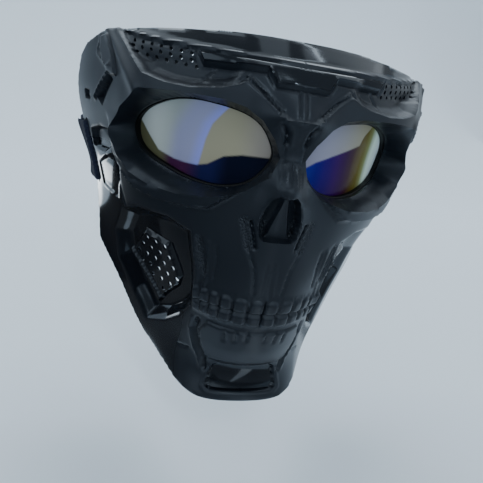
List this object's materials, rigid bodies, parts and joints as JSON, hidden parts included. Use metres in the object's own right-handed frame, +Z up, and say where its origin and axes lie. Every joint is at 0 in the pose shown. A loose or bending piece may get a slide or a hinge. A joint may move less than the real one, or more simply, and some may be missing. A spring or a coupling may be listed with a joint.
{
  "type": "full-face skull mask with mirrored goggle lenses",
  "caption": "Rigid moulded face mask with carved skull features, mirrored goggle lenses in the eye sockets, pierced cheek vents and a wide elastic strap round the back of the head.",
  "frame": {"origin": "head seat: inside the head hollow at eye level, on the centre plane between the rear edges", "axes": "+Z up through the forehead, -Y out of the face, +X to the wearer's left"},
  "size_m": [0.2284, 0.2201, 0.2022],
  "materials": {
    "shell_plastic": "satin black with glossier forehead and sides",
    "frame_plastic": "satin black",
    "mirror_lens": "coloured mirror coating, beige to lilac, blue, gold and green",
    "strap_webbing": "woven elastic, dark navy"
  },
  "bodies": {
    "root": {"mask_shell": "shell_plastic", "goggle_frame": "frame_plastic", "lens_left": "mirror_lens", "lens_right": "mirror_lens", "strap": "strap_webbing"}
  },
  "joints": []
}
